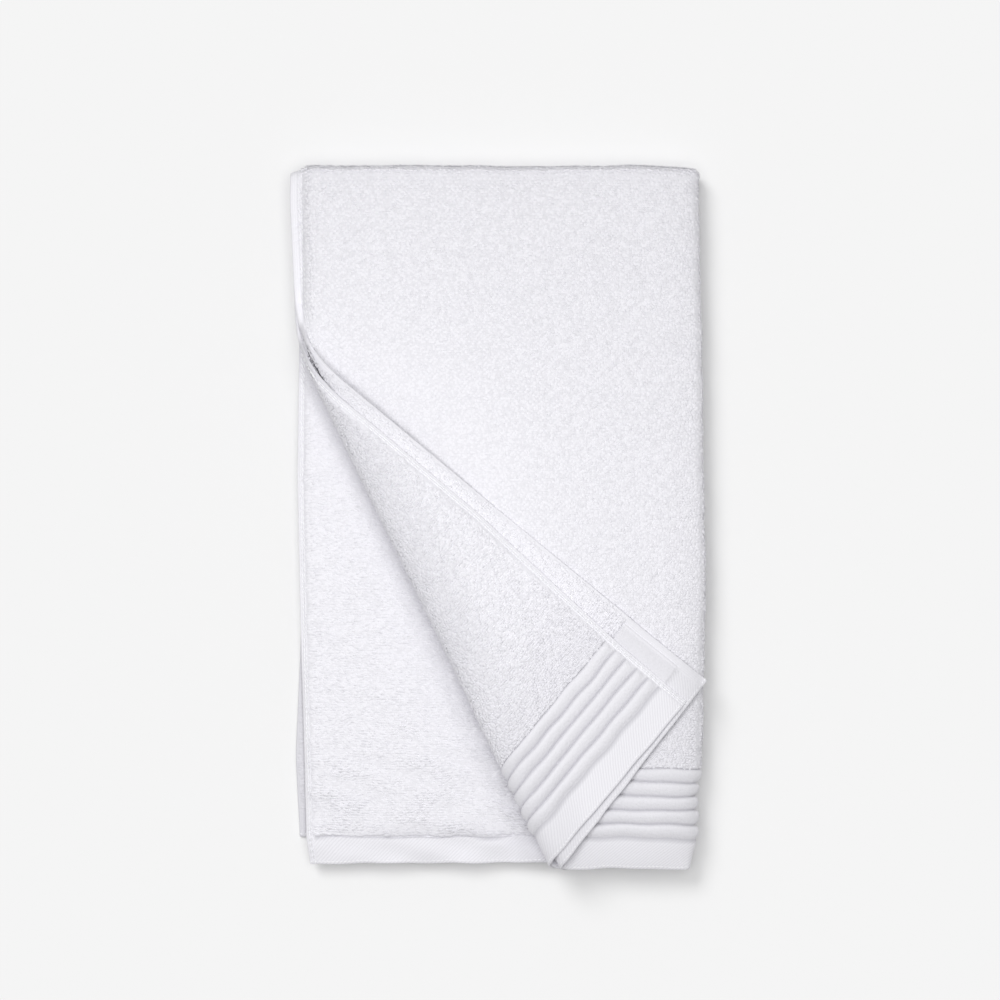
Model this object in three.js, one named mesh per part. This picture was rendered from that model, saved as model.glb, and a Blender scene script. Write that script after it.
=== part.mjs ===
// A white terry hand towel, folded lengthwise, then crosswise, with one corner
// of the two upper layers turned back. Millimetres, +Z up, one closed solid.
//
// The cloth is one sheet. It runs from a selvedge over the upper layer, round the
// lengthwise fold at the right, and back over the layer below to the other selvedge.
// Both layers then turn together round the crosswise fold at the far end, so the
// back half lies under the front half, outermost layer at the bottom.
import * as THREE from 'three';

// Thickness of the cloth
const PILE_HALF = 1.6;
const FLAT_HALF = 1.0;
const RIB_CREST_HALF = 1.9;
const RIB_GROOVE_HALF = 0.8;
const BAND_BACK_HALF = 1.3;

// How the layers stack and turn
const LAYER_PITCH = 4.2;
const FOLD_RADIUS = LAYER_PITCH / 2;
const CROSS_FOLD_Y = 171.2;
const CROSS_FOLD_DROP = { atSelvedge: 3, atFold: 1.5 };
const FRONT_LENGTH = 350.5;
const BACK_LENGTH = 347.5;

// Woven bands, measured in from the selvedges and the two hems
const SIDE_STRIP = 5.5;
const STRIP_STEP = 1.6;
const FRONT_BORDER = 16;
const RIB_COUNT = 5;
const RIB_PITCH = 7.15;
const RIB_END = FRONT_BORDER + RIB_COUNT * RIB_PITCH;
const BACK_BORDER = 13.7;

// The front half as it lay before its corner was turned: the selvedge of the
// upper and the lower layer, and the middle of the lengthwise fold
const FRONT_EDGES = [
  { y: 171.2, upper: -105.9, lower: -104.0, fold: 98.3 },
  { y: 159.0, upper: -105.9, lower: -104.0, fold: 98.3 },
  { y: 110.7, upper: -103.7, lower: -103.7, fold: 99.6 },
  { y: 59.9, upper: -99.0, lower: -103.7, fold: 100.4 },
  { y: -41.7, upper: -96.2, lower: -100.1, fold: 101.9 },
  { y: -127.0, upper: -93.7, lower: -92.6, fold: 99.7 },
  { y: -138.0, upper: -93.2, lower: -91.6, fold: 97.5 },
  { y: -167.0, upper: -92.6, lower: -90.2, fold: 97.5 },
  { y: -183.9, upper: -92.3, lower: -89.5, fold: 93.0 },
];

// The back half, where upper is the layer that continues the front's upper one
const BACK_EDGES = [
  { y: 171.2, upper: -105.9, lower: -104.0, fold: 98.3 },
  { y: 97.5, upper: -101.0, lower: -101.4, fold: 98.0 },
  { y: 20.0, upper: -101.0, lower: -102.4, fold: 98.0 },
  { y: -62.0, upper: -100.8, lower: -100.6, fold: 98.0 },
  { y: -122.9, upper: -103.4, lower: -98.8, fold: 97.5 },
  { y: -162.6, upper: -101.3, lower: -97.8, fold: 96.5 },
  { y: -176.3, upper: -100.0, lower: -95.8, fold: 95.0 },
];

// The hems, by the share of the half width from the selvedge to the fold
const HEMS = [
  { share: 0, upper: -180.1, lower: -183.9, backUpper: -162.8, backLower: -176.3 },
  { share: 0.35, upper: -179.8, lower: -181.2, backUpper: -162.8, backLower: -176.3 },
  { share: 0.65, upper: -179.3, lower: -178.7, backUpper: -163.4, backLower: -175.7 },
  { share: 0.8, upper: -178.1, lower: -178.2, backUpper: -166.0, backLower: -173.2 },
  { share: 1, upper: -179.3, lower: -179.3, backUpper: -169.7, backLower: -169.7 },
];

// The turned corner: the cloth rolls over about a slanting line, comes down at a
// small slope and lies on the panel. Radii are of the upper layer's middle.
const TURN_POINT = new THREE.Vector2(6.7, -131.1);
const TURN_SLANT = THREE.MathUtils.degToRad(63.85);
const TURN_RADII = [
  { along: -264, radius: 6.9 },
  { along: -152, radius: 6.2 },
  { along: -50, radius: 5.8 },
  { along: 20, radius: 4.1 },
  { along: 56, radius: 3.3 },
];
const DESCENT = THREE.MathUtils.degToRad(11);
const LANDING_RADIUS = 30;
const LYING_PITCH = 4.4;

// How finely each stretch is divided
const FOLD_STEPS = 6;
const CROSS_FOLD_STEPS = 7;
const ROLL_STEPS = 6;
const LANDING_STEPS = 2;
const HALF_WIDTH_STEPS = 9;
const FRONT_STEPS = 13;
const BACK_STEPS = 10;
const RIB_POINTS = [0, 0.16, 0.5, 0.84];
const SNAP = 0.05;

const TURN_ALONG = new THREE.Vector2(Math.cos(TURN_SLANT), -Math.sin(TURN_SLANT));
const TURN_ACROSS = new THREE.Vector2(Math.sin(TURN_SLANT), Math.cos(TURN_SLANT));
const { lerp, clamp } = THREE.MathUtils;

// Reads one named column of a table, between the rows on either side of a place
function lookUp(rows, key, column, place) {
  const rising = rows[rows.length - 1][key] > rows[0][key];
  const sorted = rising ? rows : [...rows].reverse();
  const next = sorted.findIndex((row) => row[key] > place);
  if (next === 0) return sorted[0][column];
  if (next < 0) return sorted[sorted.length - 1][column];
  const [before, after] = [sorted[next - 1], sorted[next]];
  const share = (place - before[key]) / (after[key] - before[key]);
  return lerp(before[column], after[column], share);
}

// Columns run across the sheet. turn is 0 on the upper layer and pi on the lower
// one, and share is 0 at a selvedge and 1 at the fold.
function makeColumns() {
  const halfWidth = FRONT_EDGES[0].fold - FRONT_EDGES[0].upper;
  const stripShares = [0, SIDE_STRIP / halfWidth, (SIDE_STRIP + STRIP_STEP) / halfWidth];
  const shares = [...stripShares];
  for (let step = 1; step <= HALF_WIDTH_STEPS; step += 1) {
    shares.push(lerp(stripShares[2], 1, step / HALF_WIDTH_STEPS));
  }
  const upper = shares.map((share) => ({ turn: 0, share }));
  const lower = shares.map((share) => ({ turn: Math.PI, share })).reverse();
  const fold = [];
  for (let step = 1; step < FOLD_STEPS; step += 1) {
    fold.push({ turn: (Math.PI * step) / FOLD_STEPS, share: 1 });
  }
  return [...upper, ...fold, ...lower];
}

// Rows run along the sheet. turn is 0 on the front half and pi on the back half,
// and fromHem is measured from that half's own hem.
function makeRows() {
  const frontMarks = [0];
  for (let rib = 0; rib < RIB_COUNT; rib += 1) {
    RIB_POINTS.forEach((point) => frontMarks.push(FRONT_BORDER + (rib + point) * RIB_PITCH));
  }
  frontMarks.push(RIB_END, RIB_END + STRIP_STEP);
  for (let step = 1; step <= FRONT_STEPS; step += 1) {
    frontMarks.push(lerp(RIB_END + STRIP_STEP, FRONT_LENGTH, step / FRONT_STEPS));
  }
  const backMarks = [0, BACK_BORDER, BACK_BORDER + STRIP_STEP];
  for (let step = 1; step <= BACK_STEPS; step += 1) {
    backMarks.push(lerp(BACK_BORDER + STRIP_STEP, BACK_LENGTH, step / BACK_STEPS));
  }
  const front = frontMarks.map((fromHem) => ({ turn: 0, fromHem }));
  const back = backMarks.map((fromHem) => ({ turn: Math.PI, fromHem })).reverse();
  const crossFold = [];
  for (let step = 1; step < CROSS_FOLD_STEPS; step += 1) {
    crossFold.push({ turn: (Math.PI * step) / CROSS_FOLD_STEPS, fromHem: FRONT_LENGTH });
  }
  return [...front, ...crossFold, ...back];
}

// The y at which the sheet reaches the crosswise fold, lower at its two ends
function crossFoldY(share) {
  const nearSelvedge = 1 - clamp(share * 20, 0, 1);
  const nearFold = clamp(share * 10 - 9, 0, 1);
  const drop = CROSS_FOLD_DROP.atSelvedge * nearSelvedge + CROSS_FOLD_DROP.atFold * nearFold;
  return CROSS_FOLD_Y - drop;
}

// The place of the sheet's middle before the corner is turned, and the direction
// its face looks in. under is 0 on the upper layer and 1 on the lower one.
function flatPlace(column, row) {
  const onBack = row.turn > Math.PI / 2;
  const under = (1 - Math.cos(column.turn)) / 2;
  const names = onBack ? ['backUpper', 'backLower'] : ['upper', 'lower'];
  const hem = lerp(...names.map((name) => lookUp(HEMS, 'share', name, column.share)), under);
  const top = crossFoldY(column.share);
  const kept = onBack ? BACK_BORDER + STRIP_STEP : RIB_END + STRIP_STEP;
  const length = onBack ? BACK_LENGTH : FRONT_LENGTH;
  const beyond = clamp((row.fromHem - kept) / (length - kept), 0, 1);
  const straightY = hem + Math.min(row.fromHem, kept) + beyond * (top - hem - kept);
  const edges = onBack ? BACK_EDGES : FRONT_EDGES;
  const [upperX, lowerX, foldX] = ['upper', 'lower', 'fold'].map((name) =>
    lookUp(edges, 'y', name, straightY));
  const selvedgeX = lerp(upperX, lowerX, under);
  const bulge = FOLD_RADIUS * Math.sin(column.turn);
  const outward = FOLD_RADIUS * Math.cos(column.turn);
  const crossRadius = LAYER_PITCH + outward;
  const level = Math.cos(column.turn);
  return {
    x: lerp(selvedgeX, foldX, column.share) + bulge,
    y: straightY + crossRadius * Math.sin(row.turn),
    z: 2 * LAYER_PITCH + crossRadius * Math.cos(row.turn),
    face: new THREE.Vector3(
      Math.sin(column.turn), level * Math.sin(row.turn), level * Math.cos(row.turn)),
    depth: FOLD_RADIUS - outward,
    fromSelvedge: column.share * (foldX - selvedgeX),
  };
}

// Lengths of the turned corner's section for a layer that lies depth outside the
// upper one: the roll, the slope down, and the landing on the panel
function turnSection(along, depth) {
  const radius = lookUp(TURN_RADII, 'along', 'radius', along);
  const height = radius * (1 + Math.cos(DESCENT)) - LYING_PITCH;
  const landingDrop = LANDING_RADIUS * (1 - Math.cos(DESCENT));
  const slope = Math.max((height - landingDrop) / Math.sin(DESCENT), 1);
  const rollRadius = radius + depth;
  const landingRadius = LANDING_RADIUS - depth;
  const innerLength = (Math.PI + DESCENT) * radius + slope + DESCENT * LANDING_RADIUS;
  const reach = (radius + LANDING_RADIUS) * Math.sin(DESCENT) + slope * Math.cos(DESCENT);
  return {
    rollRadius,
    landingRadius,
    slope,
    start: (innerLength - reach) / 2,
    rollEnd: (Math.PI + DESCENT) * rollRadius,
    landingEnd: (Math.PI + DESCENT) * rollRadius + slope + DESCENT * landingRadius,
  };
}

// How far a place lies past the line where the roll begins
function pastTurn(place) {
  const fromPoint = new THREE.Vector2(place.x, place.y).sub(TURN_POINT);
  const along = fromPoint.dot(TURN_ALONG);
  const section = turnSection(along, place.depth);
  return { along, section, past: section.start - fromPoint.dot(TURN_ACROSS) };
}

// Only the flat stretches of the front half reach the turned corner
function turns(column, row) {
  return row.turn === 0 && (column.turn === 0 || column.turn === Math.PI);
}

// The number of the stretch that a place lies in, growing along the section, so
// that the sheet can be divided along the whole numbers
function turnStation(place) {
  const { section, past } = pastTurn(place);
  const slopeEnd = section.rollEnd + section.slope;
  if (past < 0) return past / LANDING_RADIUS;
  if (past < section.rollEnd) return (past / section.rollEnd) * ROLL_STEPS;
  if (past < slopeEnd) return ROLL_STEPS + (past - section.rollEnd) / section.slope;
  const landing = (past - slopeEnd) / (section.landingEnd - slopeEnd);
  return ROLL_STEPS + 1 + landing * LANDING_STEPS;
}

// Carries a place of the front half, and the direction of its face, over the roll
function turnCorner(place) {
  const { along, section, past } = pastTurn(place);
  if (past <= 0) return { point: new THREE.Vector3(place.x, place.y, place.z), face: place.face };
  const { rollRadius, landingRadius, slope } = section;
  const angle = Math.min(past, section.rollEnd) / rollRadius;
  const sloped = clamp(past - section.rollEnd, 0, slope);
  const landingAngle = clamp((past - section.rollEnd - slope) / landingRadius, 0, DESCENT);
  const level = Math.max(past - section.landingEnd, 0);
  const leftAngle = DESCENT - landingAngle;
  const across = section.start - rollRadius * Math.sin(angle) + sloped * Math.cos(DESCENT)
    + landingRadius * (Math.sin(DESCENT) - Math.sin(leftAngle)) + level;
  const rise = rollRadius * (1 - Math.cos(angle)) - sloped * Math.sin(DESCENT)
    - landingRadius * (Math.cos(leftAngle) - Math.cos(DESCENT));
  const plan = TURN_POINT.clone().addScaledVector(TURN_ALONG, along);
  plan.addScaledVector(TURN_ACROSS, across);
  const turned = angle - (past > section.rollEnd + slope ? landingAngle : 0);
  const sideways = place.face.z * Math.sin(turned);
  const face = new THREE.Vector3(
    sideways * TURN_ACROSS.x, sideways * TURN_ACROSS.y, place.face.z * Math.cos(turned));
  return { point: new THREE.Vector3(plan.x, plan.y, place.z + rise), face };
}

// Half thickness towards the face and the back, for a row away from the selvedges
function rowThickness(row) {
  const onBack = row.turn > Math.PI / 2;
  if (!onBack && row.fromHem > FRONT_BORDER && row.fromHem < RIB_END) {
    const phase = ((row.fromHem - FRONT_BORDER) / RIB_PITCH) * Math.PI;
    const crown = Math.sqrt(Math.abs(Math.sin(phase)));
    return [lerp(RIB_GROOVE_HALF, RIB_CREST_HALF, crown), BAND_BACK_HALF];
  }
  const border = onBack ? BACK_BORDER : RIB_END;
  const rise = clamp((row.fromHem - border) / STRIP_STEP, 0, 1);
  const half = lerp(FLAT_HALF, PILE_HALF, rise);
  return [half, half];
}

// The same, brought down to the flat strip along each selvedge
function halfThickness(fromSelvedge, row) {
  const rise = clamp((fromSelvedge - SIDE_STRIP) / STRIP_STEP, 0, 1);
  return rowThickness(row).map((half) => lerp(FLAT_HALF, half, rise));
}

// Divides a polygon along one whole number of its corners' stations
function divide(polygon, level, sheet) {
  const side = (corner) => {
    const over = sheet.stations[corner] - level;
    return Math.abs(over) < SNAP ? 0 : Math.sign(over);
  };
  const sides = polygon.map(side);
  if (!sides.includes(1) || !sides.includes(-1)) return [polygon];
  const [below, above] = [[], []];
  polygon.forEach((corner, index) => {
    const following = (index + 1) % polygon.length;
    if (sides[index] <= 0) below.push(corner);
    if (sides[index] >= 0) above.push(corner);
    if (sides[index] * sides[following] < 0) {
      const cut = sheet.cutPoint(corner, polygon[following], level);
      below.push(cut);
      above.push(cut);
    }
  });
  return [below, above];
}

// The sheet's corners, each with its column and row, and its polygons
function makeSheet() {
  const columns = makeColumns();
  const rows = makeRows();
  const corners = [];
  const stations = [];
  const cuts = new Map();
  const addCorner = (column, row) => {
    const place = flatPlace(column, row);
    corners.push({ column, row, place });
    stations.push(turns(column, row) ? turnStation(place) : -1);
    return corners.length - 1;
  };
  rows.forEach((row) => columns.forEach((column) => addCorner(column, row)));
  const cutPoint = (first, second, level) => {
    const key = `${Math.min(first, second)} ${Math.max(first, second)} ${level}`;
    if (!cuts.has(key)) {
      const share = (level - stations[first]) / (stations[second] - stations[first]);
      const [start, end] = [corners[first], corners[second]];
      const column = { ...start.column };
      column.share = lerp(start.column.share, end.column.share, share);
      const row = { ...start.row };
      row.fromHem = lerp(start.row.fromHem, end.row.fromHem, share);
      const added = addCorner(column, row);
      stations[added] = level;
      cuts.set(key, added);
    }
    return cuts.get(key);
  };
  const sheet = { corners, stations, cutPoint, polygons: [] };
  const levels = ROLL_STEPS + 1 + LANDING_STEPS;
  for (let down = 0; down < rows.length - 1; down += 1) {
    for (let over = 0; over < columns.length - 1; over += 1) {
      const first = down * columns.length + over;
      const next = first + columns.length;
      let pieces = [[first, first + 1, next + 1, next]];
      for (let level = 0; level <= levels; level += 1) {
        pieces = pieces.flatMap((piece) => divide(piece, level, sheet));
      }
      sheet.polygons.push(...pieces);
    }
  }
  return sheet;
}

function triangulate(polygons) {
  return polygons.flatMap((polygon) => {
    const fan = [];
    for (let corner = 1; corner < polygon.length - 1; corner += 1) {
      fan.push([polygon[0], polygon[corner], polygon[corner + 1]]);
    }
    return fan;
  });
}

// Two skins, one on each side of the sheet, joined round its rim
function makeTowelGeometry() {
  const sheet = makeSheet();
  const triangles = triangulate(sheet.polygons);
  const faceSkin = [];
  const backSkin = [];
  sheet.corners.forEach(({ column, row, place }) => {
    const { point, face } = turns(column, row)
      ? turnCorner(place)
      : { point: new THREE.Vector3(place.x, place.y, place.z), face: place.face };
    const [faceHalf, backHalf] = halfThickness(place.fromSelvedge, row);
    faceSkin.push(point.clone().addScaledVector(face, faceHalf));
    backSkin.push(point.clone().addScaledVector(face, -backHalf));
  });
  const count = sheet.corners.length;
  const indices = [];
  const edgeUses = new Map();
  triangles.forEach(([first, second, third]) => {
    indices.push(first, second, third);
    indices.push(first + count, third + count, second + count);
    [[first, second], [second, third], [third, first]].forEach(([start, end]) => {
      const back = `${end} ${start}`;
      if (edgeUses.has(back)) edgeUses.delete(back);
      else edgeUses.set(`${start} ${end}`, [start, end]);
    });
  });
  edgeUses.forEach(([start, end]) => {
    indices.push(start, start + count, end + count);
    indices.push(start, end + count, end);
  });
  const geometry = new THREE.BufferGeometry();
  const positions = [...faceSkin, ...backSkin].flatMap((point) => point.toArray());
  geometry.setAttribute('position', new THREE.Float32BufferAttribute(positions, 3));
  geometry.setIndex(indices);
  return geometry;
}

const geometry = makeTowelGeometry();
geometry.computeBoundingBox();
const centre = geometry.boundingBox.getCenter(new THREE.Vector3());
geometry.translate(-centre.x, -centre.y, -geometry.boundingBox.min.z);
geometry.computeVertexNormals();

const terry = new THREE.MeshStandardMaterial({ color: 0xf1f3f5, roughness: 0.95, metalness: 0 });
const towel = new THREE.Mesh(geometry, terry);
towel.name = 'towel';

const group = new THREE.Group();
group.add(towel);

export default group;
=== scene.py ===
import math

import bpy
import numpy as np
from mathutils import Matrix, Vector
from mathutils.bvhtree import BVHTree


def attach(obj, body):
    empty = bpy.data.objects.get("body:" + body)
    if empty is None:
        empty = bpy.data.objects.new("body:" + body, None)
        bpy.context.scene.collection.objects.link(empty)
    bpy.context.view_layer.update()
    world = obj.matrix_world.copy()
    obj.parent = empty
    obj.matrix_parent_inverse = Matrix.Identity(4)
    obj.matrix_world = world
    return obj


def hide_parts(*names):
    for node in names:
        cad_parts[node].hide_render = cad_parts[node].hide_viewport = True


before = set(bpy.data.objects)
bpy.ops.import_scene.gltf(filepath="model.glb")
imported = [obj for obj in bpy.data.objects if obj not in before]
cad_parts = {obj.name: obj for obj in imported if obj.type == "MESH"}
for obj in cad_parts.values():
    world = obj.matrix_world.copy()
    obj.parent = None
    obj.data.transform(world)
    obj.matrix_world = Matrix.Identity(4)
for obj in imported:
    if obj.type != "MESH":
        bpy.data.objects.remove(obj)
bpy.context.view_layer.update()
bpy.ops.object.select_all(action="DESELECT")

MM = 0.001
rng = np.random.default_rng(7)

# All lengths are in millimetres unless a comment says otherwise.

# Half the thickness of the cloth, on each side of its middle. Loops stand on the terry
# ground, and reach about as far as the pile does in the solid.
GROUND_HALF = 1.4
PILE_HALF = 1.6
FLAT_HALF = 1.0
EDGE_HALF = 0.45
EDGE_ROUNDING = 0.9
RIB_CREST_HALF = 2.5
RIB_GROOVE_HALF = -0.3
RIB_LEAN = 1.4
RIB_FULLNESS = 0.4
# The width of the shade painted in each rib groove
GROOVE_SHADE_WIDTH = 0.65
UNEVENNESS = 0.12
BAND_BACK_HALF = 1.6
BAND_RIM_HALF = 0.6

# How the layers stack and turn, as in the solid
LAYER_PITCH = 4.2
FOLD_RADIUS = LAYER_PITCH / 2
CROSS_FOLD_Y = 171.2
CROSS_DROP_AT_SELVEDGE = 3
SELVEDGE_DROP_SHARE = 0.05
CROSS_DROP_AT_FOLD = 1.5
FOLD_DROP_FROM = 0.9
FRONT_LENGTH = 350.5
BACK_LENGTH = 347.5

# How far the towel is moved to stand on the floor, and to be centred in the shared frame
TO_FLOOR = PILE_HALF - FOLD_RADIUS
TO_CENTRE = (-0.076, 0.199)

# The flat cloth: across is measured from the upper layer's selvedge, and along from
# the front hem
HALF_WIDTH = 204.2
SIDE_FOLD_ARC = math.pi * FOLD_RADIUS
CROSS_FOLD_ARC = math.pi * LAYER_PITCH
CLOTH_WIDTH = 2 * HALF_WIDTH + SIDE_FOLD_ARC
CLOTH_LENGTH = FRONT_LENGTH + CROSS_FOLD_ARC + BACK_LENGTH

# Woven bands, by their distance from the hem. The smooth back of the rib band is set in
# from the selvedge and has a thin line round it, and pile begins raggedly at a short step.
BACK_STRIP = 1.1
STRIP_STEP = 1.6
RAGGED = 0.5
BAND_STEP = 0.35
BAND_LINE = 0.7
BAND_INSET = 3.3
FRONT_BORDER = 16
RIB_COUNT = 5
RIB_PITCH = 7.15
RIB_END = FRONT_BORDER + RIB_COUNT * RIB_PITCH
BACK_BORDER = 13.7

# The flat strip along each selvedge, the upper layer's first: its width, its two rows of
# stitches, the dips beside them and more lines of the mesh, by distance from the selvedge
SELVEDGES = [
    {"strip": 5.5, "rows": (4.3, 5.6), "dips": (3.65, 4.95, 6.2), "plain": (0.9, 2.2)},
    {"strip": 3.5, "rows": (1.5, 2.6), "dips": (0.95, 2.05, 3.15), "plain": ()},
]
DIP_WIDTH = 0.3
DIP_DEPTH = 0.14
# How dark the shade painted in the dips beside the stitches is
SEAM_PAINTED_SHADE = 0.3

# The row of stitches along each hem, by its distance from the hem
HEM_STITCH = 1.3

# The pile overhangs the plain border of the back half in a sunk crease, painted dark with shade,
# and shade is also painted on the pile just above the border
CREASE_PLACE = 0.2
CREASE_WIDTH = 0.6
CREASE_DEPTH = 1.1
CREASE_SHADE = 0.4
CREASE_SHADE_REACH = 5.0
CREASE_SHADE_FROM = 15.0
CREASE_SHADE_OVER = 30.0

# Painted shade where little light gets in: beside the roll, between the loops that open over
# its bend, on the outermost layer's sliver at the left and on the back of the rib band
ROLL_SHADE = 0.38
ROLL_SHADE_REACHES = [
    {"along": -250, "over": 10, "beside": 7},
    {"along": -140, "over": 22, "beside": 8},
    {"along": -60, "over": 23, "beside": 11},
]
ROLL_SHADE_FROM = 20.0
ROLL_SHADE_OVER = 50.0
ROLL_SHADE_LEAST = 0.35
BESIDE_ROLL_SHADE = 0.42
SLIVER_SHADE = 0.5
SLIVER_WIDTH = 12.0
BAND_BACK_SHADE = 0.15

# Near a hem the two layers of each half are pressed closer together
PRESSED = 0.8
PRESSED_REACH = 20.0

# The turned corner's selvedges droop onto the layer below them
DROOP = 2.0
DROOP_REACH = 3.4

# Cloth that is turned further than the first angle is on the roll, and cloth that is turned
# further than the second lies over the panel, in radians
ROLLED = 1.2
TURNED_OVER = 2.0

# Creases drawn up by the stitching in the upper layer's side strip, by distance from the hem
PUCKERS = [
    {"at": 330.2, "depth": 0.85},
    {"at": 326.6, "depth": 0.4},
    {"at": 322.9, "depth": 0.8},
    {"at": 302.6, "depth": 0.5},
    {"at": 290.0, "depth": 0.5},
]
PUCKER_MIDDLE = 3.8
PUCKER_REACH = 2.4
PUCKER_WIDTH = 0.55
PUCKER_SLANT = 0.3

# Where the edges of the two halves' layers lie, and where the hems lie from selvedge to fold
FRONT_EDGES = [
    {"y": 171.2, "upper": -105.9, "lower": -104.0, "fold": 98.3},
    {"y": 159.0, "upper": -105.9, "lower": -104.0, "fold": 98.3},
    {"y": 110.7, "upper": -103.7, "lower": -103.7, "fold": 99.6},
    {"y": 59.9, "upper": -99.0, "lower": -103.7, "fold": 100.4},
    {"y": -41.7, "upper": -96.2, "lower": -100.1, "fold": 101.9},
    {"y": -127.0, "upper": -93.7, "lower": -92.6, "fold": 99.7},
    {"y": -138.0, "upper": -93.2, "lower": -91.6, "fold": 97.5},
    {"y": -167.0, "upper": -92.6, "lower": -90.2, "fold": 97.5},
    {"y": -183.9, "upper": -92.3, "lower": -89.5, "fold": 93.0},
]
BACK_EDGES = [
    {"y": 171.2, "upper": -105.9, "lower": -104.0, "fold": 98.3},
    {"y": 97.5, "upper": -101.0, "lower": -101.4, "fold": 98.0},
    {"y": 20.0, "upper": -101.0, "lower": -102.4, "fold": 98.0},
    {"y": -62.0, "upper": -100.8, "lower": -100.6, "fold": 98.0},
    {"y": -122.9, "upper": -103.4, "lower": -98.8, "fold": 97.5},
    {"y": -162.6, "upper": -101.3, "lower": -97.8, "fold": 96.5},
    {"y": -176.3, "upper": -100.0, "lower": -95.8, "fold": 95.0},
]
HEMS = [
    {"share": 0, "upper": -180.1, "lower": -183.9, "back_upper": -162.8, "back_lower": -176.3},
    {"share": 0.35, "upper": -179.8, "lower": -181.2, "back_upper": -162.8, "back_lower": -176.3},
    {"share": 0.65, "upper": -179.3, "lower": -178.7, "back_upper": -163.4, "back_lower": -175.7},
    {"share": 0.8, "upper": -178.1, "lower": -178.2, "back_upper": -166.0, "back_lower": -173.2},
    {"share": 1, "upper": -179.3, "lower": -179.3, "back_upper": -169.7, "back_lower": -169.7},
]

# The turned corner: a point and the slant of the line that it is turned about, how tight
# the roll is along that line, and how the flap comes down and lies
TURN_POINT = (6.7, -131.1)
TURN_SLANT = math.radians(63.85)
TURN_RADII = [
    {"along": -264, "radius": 6.9},
    {"along": -152, "radius": 6.2},
    {"along": -50, "radius": 5.8},
    {"along": 20, "radius": 4.1},
    {"along": 56, "radius": 3.3},
]
DESCENT = math.radians(11)
LANDING_RADIUS = 30
LYING_PITCH = 4.4
TURN_ALONG = np.array([math.cos(TURN_SLANT), -math.sin(TURN_SLANT)])
TURN_ACROSS = np.array([math.sin(TURN_SLANT), math.cos(TURN_SLANT)])


def look_up(rows, key, column, places):
    """Reads one column of a table between its rows, at many places at once."""
    ordered = sorted(rows, key=lambda row: row[key])
    return np.interp(places, [row[key] for row in ordered], [row[column] for row in ordered])


def lerp(start, end, share):
    """The number that lies at a share of the way from start to end."""
    return start + (end - start) * share


class Waves:
    """Soft unevenness over the flat cloth, about -1 to 1, from a few sine waves."""

    def __init__(self, length_across, length_along, count=7):
        turns = rng.uniform(0, 2 * math.pi, count)
        stretch = rng.uniform(0.7, 1.5, count)
        self.across = np.cos(turns) * stretch * 2 * math.pi / length_across
        self.along = np.sin(turns) * stretch * 2 * math.pi / length_along
        self.phases = rng.uniform(0, 2 * math.pi, count)

    def at(self, across, along):
        angles = np.multiply.outer(across, self.across) + np.multiply.outer(along, self.along)
        return np.sin(angles + self.phases).sum(axis=-1) / math.sqrt(len(self.phases))


edge_waves = Waves(25, 25)
ripple_waves = Waves(36, 15)
lie_waves = Waves(70, 55)
pile_edge_waves = Waves(7, 7)
ground_waves = Waves(6, 4)
heading_waves = Waves(34, 22)

# How far the fold and the cloth's ends wander, and how far the upper layer lifts
FOLD_WANDER = 0.35
END_WANDER = 0.3
LIFT = 0.22
LIFT_REACH = 20.0

# Soft ripples of the back half's upper layer, towards its hem
RIPPLE = 0.9
RIPPLE_REACH = 80.0
TUFTS = 0.8


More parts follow.
